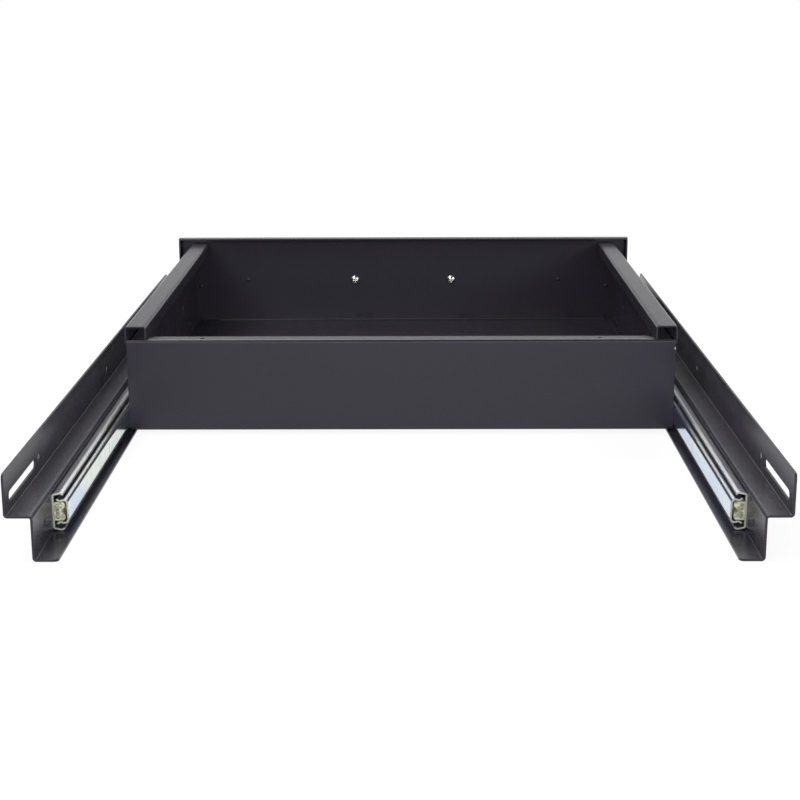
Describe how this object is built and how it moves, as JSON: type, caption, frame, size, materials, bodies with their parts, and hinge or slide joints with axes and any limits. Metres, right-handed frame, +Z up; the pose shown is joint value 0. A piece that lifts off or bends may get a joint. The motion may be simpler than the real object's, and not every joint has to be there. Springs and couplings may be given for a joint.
{
  "type": "sliding rack drawer",
  "caption": "Two-unit sliding drawer for a server rack: folded steel tray on ball-bearing slides, carried by slotted Z-shaped side brackets.",
  "frame": {"origin": "under the middle of the whole object, in the plane of the brackets' feet", "axes": "+Y to the back of the rack, +Z up, +X to the right for someone facing the drawer's front"},
  "size_m": [0.4718, 0.7285, 0.089],
  "materials": {
    "black_powder": "fine-textured black powder coat",
    "handle_black": "satin black coat",
    "slide_zinc": "bright blue-passivated zinc",
    "bright_zinc": "bright zinc",
    "cage_steel": "plain steel strip",
    "ball_steel": "polished",
    "stop_plastic": "natural translucent plastic"
  },
  "bodies": {
    "brackets": {"left_bracket": "black_powder", "left_outer_rail": "slide_zinc", "left_outer_rail_rivets": "bright_zinc", "left_front_bumper": "stop_plastic", "left_rear_bumper": "stop_plastic", "right_bracket": "black_powder", "right_outer_rail": "slide_zinc", "right_outer_rail_rivets": "bright_zinc", "right_front_bumper": "stop_plastic", "right_rear_bumper": "stop_plastic"},
    "drawer": {"front_panel": "black_powder", "handle": "handle_black", "handle_screws": "bright_zinc", "panel_rivets": "black_powder", "tray": "black_powder", "rear_plate": "black_powder", "left_inner_rail": "slide_zinc", "left_inner_rail_rivets": "black_powder", "right_inner_rail": "slide_zinc", "right_inner_rail_rivets": "black_powder"},
    "left_cage": {"left_ball_cage": "cage_steel", "left_balls": "ball_steel"},
    "right_cage": {"right_ball_cage": "cage_steel", "right_balls": "ball_steel"}
  },
  "joints": [
    {"name": "drawer_slide", "type": "slide", "parent": "brackets", "child": "drawer", "axis": [0, -1, 0], "range_m": [0, 0.42]},
    {"name": "left_cage_slide", "type": "slide", "parent": "brackets", "child": "left_cage", "axis": [0, -1, 0], "range_m": [0, 0.21]},
    {"name": "right_cage_slide", "type": "slide", "parent": "brackets", "child": "right_cage", "axis": [0, -1, 0], "range_m": [0, 0.21]}
  ],
  "couplings": [
    {"joint": "left_cage_slide", "follows": "drawer_slide", "ratio": 0.5},
    {"joint": "right_cage_slide", "follows": "drawer_slide", "ratio": 0.5}
  ]
}
